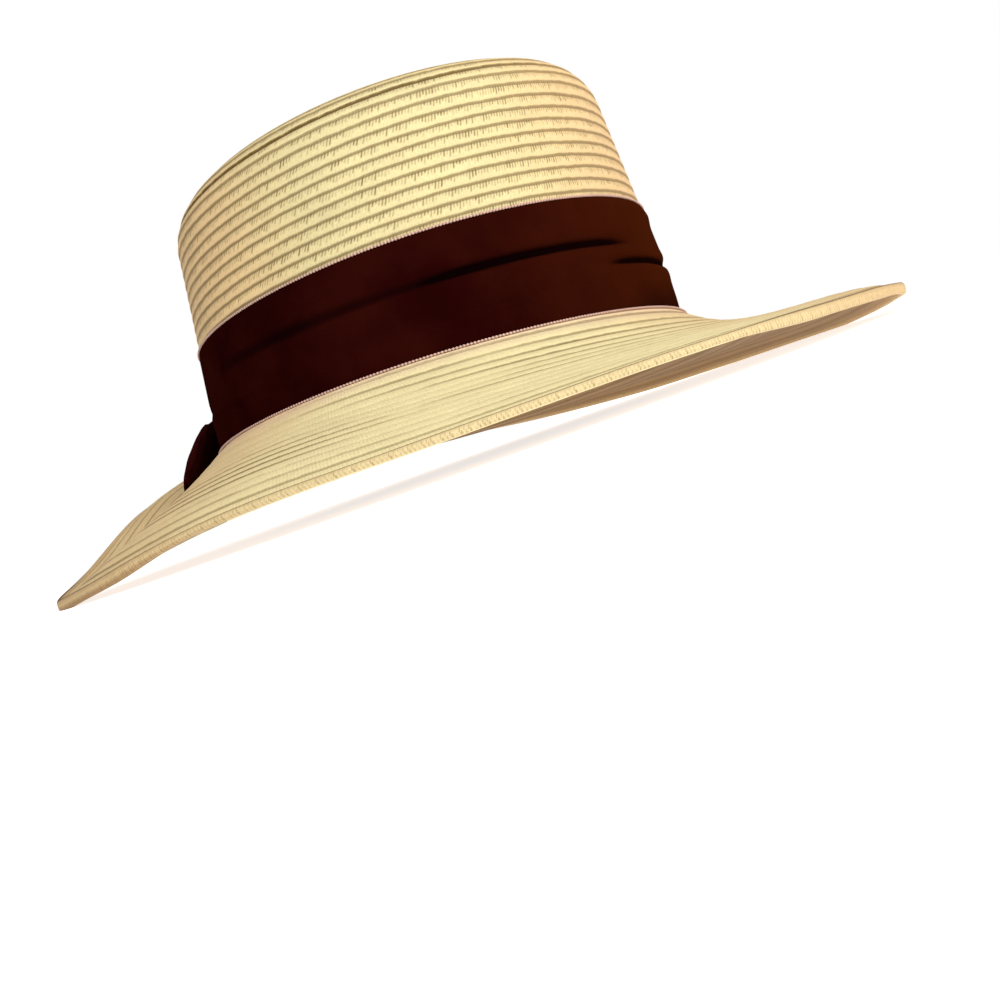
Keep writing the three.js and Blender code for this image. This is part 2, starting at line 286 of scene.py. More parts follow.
def smooth_over(piece):
    """Shades the selected piece smooth and says how many triangles it has."""
    bpy.ops.object.shade_smooth()
    print(piece.name, "has", sum(len(p.vertices) - 2 for p in piece.data.polygons), "triangles")


def sew_up(piece, outside, wall):
    """Closes the strip, faces it the way that outside gives, and gives it a wall inwards."""
    close_seams(piece, drop_slivers=True)
    faces = len(piece.data.polygons)
    normals, middles = np.zeros(faces * 3), np.zeros(faces * 3)
    piece.data.polygons.foreach_get("normal", normals)
    piece.data.polygons.foreach_get("center", middles)
    agree = (normals.reshape(-1, 3) * outside(middles.reshape(-1, 3))).sum()
    if agree < 0:
        piece.data.flip_normals()
    solidify = piece.modifiers.new("wall", "SOLIDIFY")
    solidify.thickness = wall * MM
    solidify.offset = -1
    solidify.material_offset = max(len(piece.material_slots) - 1, 0)
    bpy.ops.object.modifier_apply(modifier=solidify.name)
    smooth_over(piece)


print("strip helper ready")

# %% [markdown]
# ## The crown's braid
# The real crown is one long flat braid, sewn in a spiral. Each turn overlaps the one below,
# so every row is a soft pillow with its lower edge standing out and a thin groove over it.
# A smooth shell with painted rings would be quicker, but its rows would close on themselves
# and catch no light. Here the strip winds round the oval, so the rows climb as they should.

# %% Wind the crown from one braid
ROW_PITCH = 4.17
ROW_START = 31.09
STEPS_PER_TURN = 208
# A row's pillow: how far over (+) or under (-) the straw's face it lies, across its width
ACROSS = (0.0, 0.1, 0.32, 0.62, 0.88, 1.0)
PROFILE_LIFT = (-0.55, -0.03, 0.05, -0.05, -0.30, -0.55)
# Under the band the straw is drawn in, so that it never comes through the cloth
DRAWN_IN = 1.8
BAND_OVERLAP = 3
DRAWN_OVER = 2.5
FIRST_TURN = -8
LAST_TURN = math.ceil((SHOULDER_START + SHOULDER_LENGTH + TOP_LENGTH - ROW_START) / ROW_PITCH)


def groove_height(turns):
    """Where the groove under the braid runs, after so many turns from the first shown row."""
    sway = 0.10 * np.sin(7.3 * turns) + 0.07 * np.sin(17.9 * turns + 1.0)
    ripple = 0.07 * np.sin(61.0 * turns + 2.0) + 0.06 * np.sin(97.0 * turns)
    ripple = ripple + 0.06 * np.sin(173.0 * turns + 0.5) * np.sin(5.1 * turns)
    return ROW_START + ROW_PITCH * turns + sway + ripple


DEEP_TURN = 13
DEEP_REACH = 75 / 360
DEEPER_BY = 0.9


def crown_groove(step, share):
    """1 for a usual groove, and more for the deep one that runs over the front shoulder. It sets
    how deep the groove is and how dark its painted shade is.
    """
    line = FIRST_TURN + step / STEPS_PER_TURN + np.rint(share)
    return 1 + DEEPER_BY * np.exp(-((line - DEEP_TURN) / DEEP_REACH) ** 4)


def crown_place(step, share):
    turns = FIRST_TURN + step / STEPS_PER_TURN
    low, high = groove_height(turns), groove_height(turns + 1)
    way = np.maximum(low + share * (high - low), JOIN_GAP)
    pillow = np.interp(share, ACROSS, PROFILE_LIFT) * crown_groove(step, share)
    shown = np.clip((way - BAND_HEIGHT + BAND_OVERLAP) / DRAWN_OVER, 0, 1)
    return resting(over_straw(360 * turns, way, shown * pillow - (1 - shown) * DRAWN_IN))


def degrees_from(middle, angle):
    """How far round an angle is from a middle one, from -180 to 180."""
    return np.mod(angle - middle + 180, 360) - 180


FRONT_LIGHT_MIDDLE = 31
FRONT_LIGHT_REACH = 38


def painted_front_light(angle):
    """Painted light: 1 at the front, where the straw is painted a greener cream as the light's
    colour, 0 behind.
    """
    return np.exp(-(degrees_from(FRONT_LIGHT_MIDDLE, angle) / FRONT_LIGHT_REACH) ** 2)


def from_middle(centre):
    """Outside is away from a centre, in metres."""
    return lambda middles: middles - np.array(centre)


TOP_WAY = 100
TOP_BLEND = 20
TOP_FRONT_LIGHT = 0.3


def crown_front_light(step, share):
    """Painted light: the top takes an even share of the front's painted cream, so it runs out
    over the shoulder.
    """
    turns = FIRST_TURN + step / STEPS_PER_TURN
    side = np.clip((TOP_WAY - groove_height(turns + share)) / TOP_BLEND, 0, 1)
    return painted_front_light(360 * turns) * side + TOP_FRONT_LIGHT * (1 - side)


# Painted light: one paint marks the front, where the straw is painted a greener cream.
crown = strip("crown_braid", (LAST_TURN - FIRST_TURN) * STEPS_PER_TURN, ACROSS, crown_place,
              {"groove": crown_groove, "front_light": crown_front_light,
               "blush": lambda step, share: np.zeros(len(step))})
two_faces(crown)
sew_up(crown, from_middle((0, 0, 0.05)), STRAW_WALL)
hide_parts("crown")
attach(crown, "root")

# %% [markdown]
# ## The brim's braid
# The same braid goes on outwards over the brim. Its rows are close to level rings that follow
# the brim's waves, and pressing has smoothed some of them away. A sheet with grooves cut in
# would need a cut for each row, so the strip is wound again, here from the seam in to the
# crown, and a table says how plainly each groove shows.

# %% Wind the brim
BRIM_ROWS = 12
BRIM_STEPS = 360
BRIM_SEAM_ANGLE = 264
# The last row goes on a little way under the edge braid, so that no gap shows from above
TUCKED_UNDER = 1.009
EDGE_SINK = 0.35
EDGE_EASE = 3
LEAST_RELIEF = 0.25
BRIM_ACROSS = (0.0, 0.07, 0.2, 0.5, 0.8, 0.93, 1.0)
BRIM_LIFT = (-0.5, -0.1, 0.05, 0.05, -0.05, -0.3, -0.5)
# How plainly each groove shows at a few angles, from the crown (row 0) to the seam (row 12)
GROOVE_ANGLES = (-80, -45, -20, -2, 19, 36, 48, 72, 110)
GROOVE_SHOWS = [
    (0.8, 0.8, 0.8, 0.8, 0.8, 0.8, 0.8, 0.8, 0.8, 0.8, 0.8, 0.8, 0.8),
    (0.2, 0.2, 0.2, 0.2, 0.2, 0.3, 0.4, 0.4, 0.3, 0.3, 0.7, 0.9, 1.0),
    (0.2, 0.2, 0.1, 0.1, 0.2, 0.5, 1.0, 1.1, 0.9, 0.2, 0.5, 0.8, 1.0),
    (0.3, 0.5, 0.1, 0.1, 0.5, 0.7, 1.4, 1.4, 1.5, 0.3, 0.5, 0.6, 1.0),
    (0.3, 1.1, 0.9, 0.3, 0.1, 0.1, 0.3, 0.5, 0.1, 0.3, 0.4, 0.5, 1.0),
    (0.6, 0.6, 0.4, 1.5, 0.6, 0.2, 1.2, 0.1, 0.3, 0.2, 0.4, 0.6, 0.9),
    (0.9, 0.8, 1.5, 1.2, 1.1, 0.8, 0.4, 0.7, 0.2, 0.1, 0.2, 0.5, 1.1),
    (0.9, 0.8, 1.0, 0.9, 0.7, 0.5, 0.3, 0.3, 0.1, 0.1, 0.1, 0.3, 1.0),
    (0.8, 0.8, 0.8, 0.8, 0.8, 0.8, 0.8, 0.8, 0.8, 0.8, 0.8, 0.8, 0.8),
]


def brim_share(turns):
    """How far out the groove is after so many turns inwards from the seam."""
    sway = 0.03 * np.sin(5.7 * turns) + 0.02 * np.sin(13.1 * turns + 2.0)
    return 1 - (turns + sway + 0.012 * np.sin(67.0 * turns)) / BRIM_ROWS


def brim_way(step, share):
    """The angle of a point on the braid, and how far out it is, from crown (0) to seam (1)."""
    turns = step / BRIM_STEPS - 1
    outer, inner = brim_share(turns), brim_share(turns + 1)
    way = np.minimum(outer + share * (inner - outer), TUCKED_UNDER)
    return BRIM_SEAM_ANGLE - 360 * turns, way


def brim_groove(step, share):
    """Pressing has smoothed some rows away at the front. Elsewhere they show evenly, in relief
    and in painted shade.
    """
    angle, way = brim_way(step, share)
    table = np.array(GROOVE_SHOWS)
    column = np.interp(degrees_from(0, angle), GROOVE_ANGLES, np.arange(len(table)))
    row = np.clip(way, 0, 1) * BRIM_ROWS
    first, inner = (np.minimum(x.astype(int), end) for x, end in
                    ((column, len(table) - 2), (row, BRIM_ROWS - 1)))
    part, between = row - inner, column - first
    left, right = (table[side, inner] * (1 - part) + table[side, inner + 1] * part
                   for side in (first, first + 1))
    return left * (1 - between) + right * between


def brim_blush(step, share):
    """The first row beside the band is a little pinker."""
    return np.clip(1.3 - brim_way(step, share)[1] * BRIM_ROWS, 0, 1)


def brim_place(step, share):
    angle, way = brim_way(step, share)
    relief = LEAST_RELIEF + (1 - LEAST_RELIEF) * brim_groove(step, share)
    lift = np.interp(share, BRIM_ACROSS, BRIM_LIFT) * relief
    edge = np.clip((1 - way) * BRIM_ROWS * EDGE_EASE, 0, 1)
    lift = lift * edge - EDGE_SINK * (1 - edge)
    lift = np.where(way <= 0, 0, lift)
    return resting(over_brim(angle, way, lift))


# Painted light: one paint marks the front, where the straw is painted a greener cream.
brim = strip("brim_braid", (BRIM_ROWS + 2) * BRIM_STEPS, BRIM_ACROSS, brim_place,
             {"groove": brim_groove, "blush": brim_blush,
              "front_light": lambda step, share: painted_front_light(brim_way(step, share)[0])})
two_faces(brim)
sew_up(brim, lambda middles: np.array([[0.0, 0.0, 1.0]]), STRAW_WALL)
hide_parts("brim")
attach(brim, "root")

# %% [markdown]
# ## The edge braid
# The brim ends in a thicker braid with slanted strands, like a fine rope. Every strand could
# be a curve wound round a core, but there are hundreds, and their ends would have to be hidden
# in the brim. One tube with a rounded block for its section is enough: it is cut in a little
# between each two strands, and painted shade in the seam and the clefts is laid on by formula.

# %% Lay the edge braid
STRANDS = 820
HEM_STEPS = STRANDS * 8
HEM_SIDES = 12
HEM_SQUARENESS = 0.6
PRESSED_HEM = 2.3
PRESSED_MIDDLE = 24.0
PRESSED_REACH = 26.0
PRESSED_EASE = 16
STRAND_SLANT = 0.5
CLEFT_NARROW = 1.5
CLEFT_DEPTH = 0.45
EDGE_RIPPLE = 0.1


def hem_tall(angle):
    """The edge braid's height. It is pressed thinner in front than elsewhere."""
    away = np.abs(degrees_from(PRESSED_MIDDLE, angle))
    full = np.clip((away - PRESSED_REACH) / PRESSED_EASE, 0, 1)
    return PRESSED_HEM + (HEM_HEIGHT - PRESSED_HEM) * full**2 * (3 - 2 * full)


def hem_section(share):
    """Where round the rounded block a point is: across (out +) and up."""
    turn = 2 * math.pi * share
    across, up = np.cos(turn), np.sin(turn)
    return (np.sign(across) * np.abs(across) ** HEM_SQUARENESS,
            np.sign(up) * np.abs(up) ** HEM_SQUARENESS)


def hem_cleft(step, share):
    """1 in the cleft between two strands' ends, which shows in the lower half only. It cuts the
    cleft in, and the cleft is painted dark there as painted shade.
    """
    across, up = hem_section(share)
    phase = STRANDS * step / HEM_STEPS + STRAND_SLANT * up
    strand = np.floor(phase + 0.5)
    uneven = 0.62 + 0.38 * np.sin(2.3 * strand) * np.sin(0.71 * strand + 1)
    cleft = np.clip(1 - CLEFT_NARROW * np.abs(np.sin(math.pi * phase)), 0, 1)
    return cleft * uneven * np.clip(0.75 - 1.2 * up, 0, 1) * (across > -0.6)


UNDER_SHADE_MIDDLE = -34
UNDER_SHADE_REACH = 32
UNDERSIDE = 0.35


def hem_underside_shade(step, share):
    """Painted shade: the underside is painted browner where the edge rolls under, at the wearer's
    front right.
    """
    away = degrees_from(UNDER_SHADE_MIDDLE, 360 * step / HEM_STEPS)
    rolled = np.clip((-UNDERSIDE - hem_section(share)[1]) / UNDERSIDE, 0, 1)
    return rolled * np.exp(-(away / UNDER_SHADE_REACH) ** 4)


def hem_place(step, share):
    angle = 360 * step / HEM_STEPS
    across, up = hem_section(share)
    swell = EDGE_RIPPLE * np.sin(19 * np.radians(angle)) - CLEFT_DEPTH * hem_cleft(step, share)
    out = brim_at(angle, "width") + HEM_OVERHANG - HEM_THICKNESS / 2
    out = out + across * (HEM_THICKNESS / 2 + swell)
    tall = hem_tall(angle)
    height = -brim_at(angle, "drop") - tall / 2 + up * (tall + swell) / 2
    return resting(oval(angle, HALF_WIDTH, HALF_LENGTH, out, height))


SEAM_MIDDLE = 60
SEAM_OPEN = 118
SEAM_CLOSING = 10
SEAM_TIGHT = 0.9
SEAM_FOOT = 0.60
SEAM_RISE = 0.24
SEAM_DARK = 0.9


def hem_seam(step, share):
    """Painted shade: the dark seam along the top, in the gap where the edge meets the brim. It
    lies open in front and is drawn tight behind, where less shade is painted.
    """
    across, up = hem_section(share)
    away = np.abs(degrees_from(SEAM_MIDDLE, 360 * step / HEM_STEPS))
    opened = 1 - SEAM_TIGHT * np.clip((away - SEAM_OPEN) / SEAM_CLOSING, 0, 1)
    rim = np.clip((up - SEAM_FOOT) / SEAM_RISE, 0, 1) * (across > -0.1)
    return SEAM_DARK * rim * opened


# Painted light: one paint marks the front, where the edge is painted a greener cream.
hem = strip("brim_edge_braid", HEM_STEPS, [i / HEM_SIDES for i in range(HEM_SIDES + 1)],
            hem_place, {"groove": hem_seam, "cleft": hem_cleft, "underside_shade": hem_underside_shade,
                        "front_light": lambda step, share: painted_front_light(360 * step / HEM_STEPS)})


def face_out(piece):
    """Closes a rounded strip into a shell, with its faces out."""
    close_seams(piece, drop_slivers=False)
    smooth_over(piece)


face_out(hem)
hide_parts("brim_hem")
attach(hem, "root")

# %% [markdown]
# ## The cloth band
# A strip of dark cloth is gathered round the crown's foot. It is pulled tight, so its folds
# run along it: one deep crease at the wearer's front left, a short one near that side, and
# soft ridges where the bow pulls it together. A cloth simulation could gather the strip, but
# its folds would fall anywhere. Each fold here is a row of a short table, so it lies where the
# real one does.

# %% Fold the band
BAND_STEPS = 440
BAND_LINES = 104
BAND_CLOTH = 0.7
BAND_FOOT = -0.6
BAND_RIPPLE = 0.08
LEAST_GAP = 0.1
# How far the cloth stands out from the straw, mm, from its foot (0) to its top edge (1)
BAND_SHARES = (0.0, 0.06, 0.3, 0.6, 0.85, 0.95, 1.0)
BAND_OUT = (-0.4, -0.05, 0.3, 0.4, 0.55, 0.6, 0.3)
# height: the fold's middle as a share of the band. rise: growth of that share per radian.
# depth: out (+) or in (-), mm. below, above: half widths as shares of the band, under and over
# the middle. angle and reach: where the fold is and how far it runs, in degrees.
BAND_FOLDS = [
    # height, rise, depth, below, above, angle, reach
    (0.592, 0.01, -2.1, 0.022, 0.048, 56, 25),
    (0.612, -0.05, -0.9, 0.060, 0.080, 6, 40),
    (0.720, 0.00, 0.5, 0.080, 0.120, 58, 40),
    (0.530, 0.00, 0.6, 0.090, 0.050, 50, 34),
    (0.000, 0.00, -0.9, 0.100, 0.320, 104, 32),
    (0.285, -0.04, -0.4, 0.060, 0.040, 38, 18),
    (0.440, 0.06, -1.8, 0.020, 0.040, 90, 17),
    (0.500, 0.10, -0.8, 0.025, 0.045, 116, 13),
    (0.570, 0.10, 0.4, 0.030, 0.060, 116, 15),
    (0.930, 0.00, 0.7, 0.060, 0.040, 95, 26),
    (0.370, 0.06, 0.5, 0.050, 0.050, 92, 20),
    (0.320, -0.04, 0.7, 0.035, 0.060, -36, 24),
    (0.390, -0.02, -2.2, 0.050, 0.050, -76, 24),
    (0.540, 0.00, 1.3, 0.060, 0.140, -76, 20),
    (0.230, 0.05, 0.6, 0.080, 0.080, -78, 24),
    (0.500, -0.10, -0.9, 0.070, 0.070, -150, 50),
    (0.300, 0.10, 0.9, 0.110, 0.110, 180, 60),
    (0.700, -0.06, -0.7, 0.060, 0.060, 170, 40),
]


def band_out(angle, share):
    """How far the cloth stands out from the straw."""
    out = np.interp(share, BAND_SHARES, BAND_OUT)
    for height, rise, depth, below, above, middle, reach in BAND_FOLDS:
        away = degrees_from(middle, angle)
        over = share - height - rise * np.radians(away)
        span = np.where(over > 0, above, below)
        out = out + depth * np.exp(-(over / span) ** 2 - (away / reach) ** 4)
    turn = np.radians(angle)
    ripple = BAND_RIPPLE * np.sin(9 * share + 12 * turn) * np.sin(7 * turn + 2)
    slack = np.clip(share / 0.1, 0, 1) * np.clip((1 - share) / 0.05, 0, 1)
    return np.maximum(out + ripple * slack, BAND_CLOTH - DRAWN_IN + LEAST_GAP)


CREASE_FROM = 0.35
CREASE_FULL = 0.8
SIDE_LIGHT_MIDDLE = 106
SIDE_LIGHT_REACH = 42


def band_crease_shade(step, share):
    """Painted shade: 1 deep in a crease, where the cloth is painted nearly black."""
    sunk = np.interp(share, BAND_SHARES, BAND_OUT) - band_out(360 * step / BAND_STEPS, share)
    return np.clip((sunk - CREASE_FROM) / CREASE_FULL, 0, 1)


def band_side_light(step, share):
    """Painted light: 1 at the wearer's left, where the cloth is painted browner, as a warm light
    falls on it there.
    """
    away = degrees_from(SIDE_LIGHT_MIDDLE, 360 * step / BAND_STEPS)
    return np.exp(-(away / SIDE_LIGHT_REACH) ** 2)


def band_place(step, share):
    angle = 360 * step / BAND_STEPS
    height = BAND_FOOT + share * (BAND_HEIGHT - BAND_FOOT)
    return resting(over_crown(angle, height, band_out(angle, share)))


# Painted light: one paint browns the band at the wearer's left.
# Painted shade: one paint darkens the band's creases.
band = strip("hat_band_cloth", BAND_STEPS, [i / BAND_LINES for i in range(BAND_LINES + 1)],
             band_place, {"crease": band_crease_shade, "side_light": band_side_light})
sew_up(band, lambda middles: middles * np.array([1.0, 1.0, 0.0]), BAND_CLOTH)
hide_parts("hat_band")
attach(band, "root")

# %% [markdown]
# ## The whipped edges of the band
# A pinkish thread is sewn over and over along both edges of the band, and shows as a row of
# tiny beads. It could be a pattern in the cloth, but real beads catch the light at the edge.

# %% Whip the edges
BEADS = 480
BEAD_STEPS = BEADS * 4
BEAD_SIDES = 6
BEAD_WAIST = 0.5


def bead_gap(step, share):
    """0 in the middle of a bead, 1 between two beads."""
    return 0.5 - 0.5 * np.cos(2 * math.pi * BEADS * step / BEAD_STEPS)


def whip(name, height, out, thread_radius):
    """A round thread that follows the crown at a height, out from the straw, in mm."""
    def place(step, share):
        turn = 2 * math.pi * share
        bead = thread_radius * (1 - BEAD_WAIST * bead_gap(step, share))
        return resting(over_crown(360 * step / BEAD_STEPS, height + bead * np.sin(turn),
                                  out + bead * np.cos(turn)))

    thread = strip(name, BEAD_STEPS, [i / BEAD_SIDES for i in range(BEAD_SIDES + 1)], place,
                   {"gap": bead_gap})
    face_out(thread)
    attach(thread, "root")
    return thread


thread_top = whip("band_top_thread", height=BAND_HEIGHT + 0.25, out=0.50, thread_radius=0.50)
thread_foot = whip("band_foot_thread", height=0.05, out=0.60, thread_radius=0.45)

# %% [markdown]
# ## The bow
# The bow is two loops of the same cloth and a knot. Each loop runs out along the crown, turns
# and comes back, lies on the brim and leans out at its foot. It could be a stuffed block, but
# then its mouth and its pleats would be missing, so it is a strip on a closed path.

# %% Tie the loops
BOW_ANGLE = -88.0
# A loop's size from the knot to its end, in mm. along: from the knot. lift and out: its middle
# over the crown's foot and off the straw. tall, deep: half sizes. lean: out at its foot.
LOOP_FRONT = [
    # along, lift, out, tall, deep, lean
    (7.5, 13.5, 6.8, 5.0, 2.2, 0.10),
    (14.0, 11.5, 8.6, 8.5, 3.4, 0.30),
    (22.0, 8.2, 9.8, 11.2, 4.0, 0.45),
    (30.0, 6.0, 10.8, 12.2, 4.3, 0.52),
    (37.0, 5.6, 11.2, 11.8, 4.3, 0.54),
    (42.0, 5.4, 11.4, 9.8, 3.5, 0.54),
    (44.5, 5.4, 11.4, 5.6, 1.9, 0.54),
]
LOOP_BACK = [
    (-7.5, 13.5, 6.8, 4.5, 2.2, 0.10),
    (-14.0, 12.5, 8.0, 8.0, 3.2, 0.15),
    (-22.0, 12.0, 9.0, 10.5, 4.0, 0.20),
    (-30.0, 12.0, 9.4, 11.0, 4.0, 0.20),
    (-37.0, 12.5, 9.2, 10.0, 3.6, 0.20),
    (-42.0, 13.0, 8.8, 7.5, 2.8, 0.20),
    (-44.5, 13.0, 8.6, 4.0, 1.5, 0.20),
]
LOOP_STEPS = 96
LOOP_LINES = 24
LOOP_SQUARENESS = 0.5
CLOTH = 0.9


def bow_point(along, height, out):
    """A point along the crown from the bow's middle, in mm."""
    angle = BOW_ANGLE + np.degrees(2 * along / (HALF_WIDTH + HALF_LENGTH))
    return resting(over_crown(angle, height, out))


def loop_place(table):
    """The path goes out on the loop's outer side and comes back on its inner side."""
    rows = np.array(table)
    stations = np.linspace(0, 1, len(rows))

    def place(step, share):
        path = step / LOOP_STEPS
        there = 1 - np.abs(2 * path - 1)
        ease = np.sin(there * math.pi / 2)
        along, lift, out, tall, deep, lean = (np.interp(ease, stations, column)
                                              for column in rows.T)
        side = np.cos(math.pi * path)
        side = np.sign(side) * np.abs(side) ** LOOP_SQUARENESS
        over = 2 * share - 1
        pinch = 1 - ease
        pleat = 0.7 * np.cos(3 * math.pi * over) * np.sqrt(pinch) * (0.3 + pinch)
        curl = 0.7 - 2.4 * over**2
        across = side * (deep - CLOTH / 2 + curl + pleat * 0.6) - lean * tall * over
        return bow_point(along, lift + tall * over, out + across)

    return place


def tie_loop(name, table, node):
    loop = strip(name, LOOP_STEPS, [i / LOOP_LINES for i in range(LOOP_LINES + 1)],
                 loop_place(table))
    middle = loop_place(table)(np.array([LOOP_STEPS * 0.25, LOOP_STEPS * 0.75]),
                               np.array([0.5, 0.5])).mean(0)
    sew_up(loop, from_middle(middle), CLOTH)
    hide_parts(node)
    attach(loop, "root")
    return loop


loop_front = tie_loop("bow_loop_front_cloth", LOOP_FRONT, "bow_loop_front")
loop_back = tie_loop("bow_loop_back_cloth", LOOP_BACK, "bow_loop_back")

# %% [markdown]
# ## The knot
# A short wrap of the same cloth holds the loops' ends. A ring primitive would have no pleats
# and no waist, so this too is a strip, closed on itself and drawn in towards its two sides.

# %% Wrap the knot
KNOT_STEPS = 48
KNOT_LINES = 20
KNOT_HEIGHT, KNOT_OUT = 14.0, 8.2
KNOT_HALF_TALL, KNOT_HALF_DEEP, KNOT_HALF_LONG = 11, 4.2, 6.5
KNOT_PLEAT = 0.25


def knot_place(step, share):
    """A closed wrap round the loops' ends, thinner towards its sides, with soft pleats."""
    turn = 2 * math.pi * step / KNOT_STEPS
    over = 2 * share - 1
    round_off = np.sqrt(np.maximum(1 - (0.92 * over) ** 2, 0))
    pleat = KNOT_PLEAT * np.cos(5 * math.pi * over)
    height = KNOT_HEIGHT + (KNOT_HALF_TALL * (0.75 + 0.25 * round_off)) * np.sin(turn)
    out = KNOT_OUT + (KNOT_HALF_DEEP * (0.6 + 0.4 * round_off) + pleat) * np.cos(turn)
    return bow_point(KNOT_HALF_LONG * over, height, out)


knot = strip("bow_knot_cloth", KNOT_STEPS, [i / KNOT_LINES for i in range(KNOT_LINES + 1)],
             knot_place)
sew_up(knot, from_middle(bow_point(np.array([0.0]), KNOT_HEIGHT, KNOT_OUT)[0]), CLOTH)
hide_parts("bow_knot")
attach(knot, "root")

# %% [markdown]
# ## Helpers for materials
# A material is a small graph of nodes. It could be drawn by hand in the shader editor, one
# node at a time. These helpers add a node and join it up in one line instead, so that each
# material reads like a recipe.

# %% Node helpers
def new_material(name):
    material = bpy.data.materials.new(name)
    material.use_nodes = True
    nodes = material.node_tree.nodes
    nodes.clear()
    output = nodes.new("ShaderNodeOutputMaterial")
    shader = nodes.new("ShaderNodeBsdfPrincipled")
    material.node_tree.links.new(shader.outputs["BSDF"], output.inputs["Surface"])
    return material, shader


def node(material, kind, inputs=None, **settings):
    made = material.node_tree.nodes.new(kind)
    for key, value in settings.items():
        setattr(made, key, value)
    for key, value in (inputs or {}).items():
        socket = made.inputs[key]
        if isinstance(value, bpy.types.NodeSocket):
            material.node_tree.links.new(value, socket)
        else:
            socket.default_value = value
    return made


def maths(material, operation, first, second=0.0):
    return node(material, "ShaderNodeMath", {0: first, 1: second}, operation=operation).outputs[0]


def times(material, first, second):
    return maths(material, "MULTIPLY", first, second)


def plus(material, first, second):
    return maths(material, "ADD", first, second)


def spread(material, value, low, span):
    """A value from 0 to 1 spread over a span that starts at low."""
    return plus(material, low, times(material, value, span))


def smooth(material, value, low, high):
    """0 below low, 1 above high, and a soft step between."""
    return node(material, "ShaderNodeMapRange", {"Value": value, "From Min": low,
                "From Max": high}, interpolation_type="SMOOTHSTEP").outputs["Result"]


def mix(material, share, first, second):
    return node(material, "ShaderNodeMix", {0: share, 6: first, 7: second},
                data_type="RGBA").outputs[2]


def noise(material, place, scale, detail=3.0, roughness=0.5):
    return node(material, "ShaderNodeTexNoise", {"Vector": place, "Scale": scale,
                "Detail": detail, "Roughness": roughness}).outputs["Fac"]


def noise_along(material, along, scale, detail=3.0, roughness=0.5):
    """A noise that changes along the braid and not across it."""
    line = node(material, "ShaderNodeCombineXYZ", {"X": along}).outputs["Vector"]
    return noise(material, line, scale, detail, roughness)


def painted(material, name):
    """The number that the mesh was painted with under this name, 0 where it wasn't."""
    return node(material, "ShaderNodeAttribute", attribute_name=name).outputs["Fac"]


def braid_map(material):
    """Millimetres along the braid, and the share across it."""
    uv = node(material, "ShaderNodeUVMap").outputs["UV"]
    parts = node(material, "ShaderNodeSeparateXYZ", {"Vector": uv}).outputs
    return parts["X"], parts["Y"]


def place_on(material):
    """The place on the object, in metres."""
    return node(material, "ShaderNodeTexCoord").outputs["Object"]


def colour(red, green, blue):
    """A colour given as it looks on a screen, 0 to 255, as the shader's linear values."""
    linear = [((c / 255 + 0.055) / 1.055) ** 2.4 if c > 10 else c / 255 / 12.92
              for c in (red, green, blue)]
    return (*linear, 1.0)


def brightened(material, tint, factor):
    """The colour times a number."""
    triple = node(material, "ShaderNodeCombineXYZ", {"X": factor, "Y": factor, "Z": factor})
    return node(material, "ShaderNodeVectorMath", {0: tint, 1: triple.outputs["Vector"]},
                operation="MULTIPLY").outputs["Vector"]


def stained(material, tint, name, strength, stain):
    """The colour with a stain over it, wherever the mesh was painted under this name."""
    return mix(material, times(material, painted(material, name), strength), tint, stain)


def finish(material, shader, tint, relief, bump, depth, roughness, gloss):
    """Joins the colour and a fine relief to the shader. depth is in metres."""
    raised = node(material, "ShaderNodeBump", {"Strength": bump, "Distance": depth,
                  "Height": relief}).outputs["Normal"]
    material.node_tree.links.new(tint, shader.inputs["Base Color"])
    material.node_tree.links.new(raised, shader.inputs["Normal"])
    shader.inputs["Roughness"].default_value = roughness
    shader.inputs["Specular IOR Level"].default_value = gloss
    return material


print("cream straw is", [round(c, 3) for c in colour(236, 216, 160)])

# %% [markdown]
# ## The marks in the straw
# The strands cross the braid at a slant, and where they open, short dark ticks show in the
# upper half of each row. There are thousands, finer than a hair, so modelling them would be
# heavy. A formula reads the strip's UV map, which holds millimetres along and the share
# across, so the ticks and the painted shade of the grooves follow the braid round the hat.

# %% The ticks and the grooves
def ticks(material, along, across, pitch, slant):
    """One short dark gap for each strand, each with its own length and strength."""
    phase = plus(material, maths(material, "DIVIDE", along, pitch),
                 times(material, across, slant))
    chance = node(material, "ShaderNodeTexWhiteNoise", {"W": maths(material, "FLOOR", phase)},
                  noise_dimensions="1D").outputs
    second = node(material, "ShaderNodeSeparateXYZ", {"Vector": chance["Color"]}).outputs["Y"]
    off_middle = maths(material, "ABSOLUTE", maths(
        material, "SUBTRACT", maths(material, "FRACT", phase), 0.5))
    stroke = maths(material, "SUBTRACT", 1.0, smooth(material, off_middle, 0.08, 0.42))
    foot = spread(material, chance["Value"], 0.25, 0.4)
    upper = smooth(material, maths(material, "SUBTRACT", across, foot), 0.0, 0.22)
    bunch = smooth(material, noise_along(material, along, 0.11, 2.0), 0.3, 0.6)
    strength = times(material, spread(material, bunch, 0.45, 0.55),
                     spread(material, second, 0.35, 0.65))
    return phase, times(material, strength, times(material, stroke, upper))


def painted_groove_shade(material, along, across, narrow):
    """Painted shade: the dark line where one row tucks under the next, broken where the braid is
    pressed.
    """
    wobble = maths(material, "SUBTRACT", noise_along(material, along, 0.22, 2.0), 0.5)
    across = plus(material, across, times(material, wobble, 0.14))
    low = maths(material, "SUBTRACT", 1.0, smooth(material, across, narrow * 0.3, narrow))
    high = smooth(material, across, 1 - narrow * 1.1, 1 - narrow * 0.3)
    line = maths(material, "MAXIMUM", low, high)
    shows = painted(material, "groove")
    gate = smooth(material, plus(material, noise_along(material, along, 0.05), shows), 0.55, 1.15)
    return times(material, line, times(material, gate, spread(material, shows, 0.45, 0.55)))


print("marks for the straw: ticks and grooves")

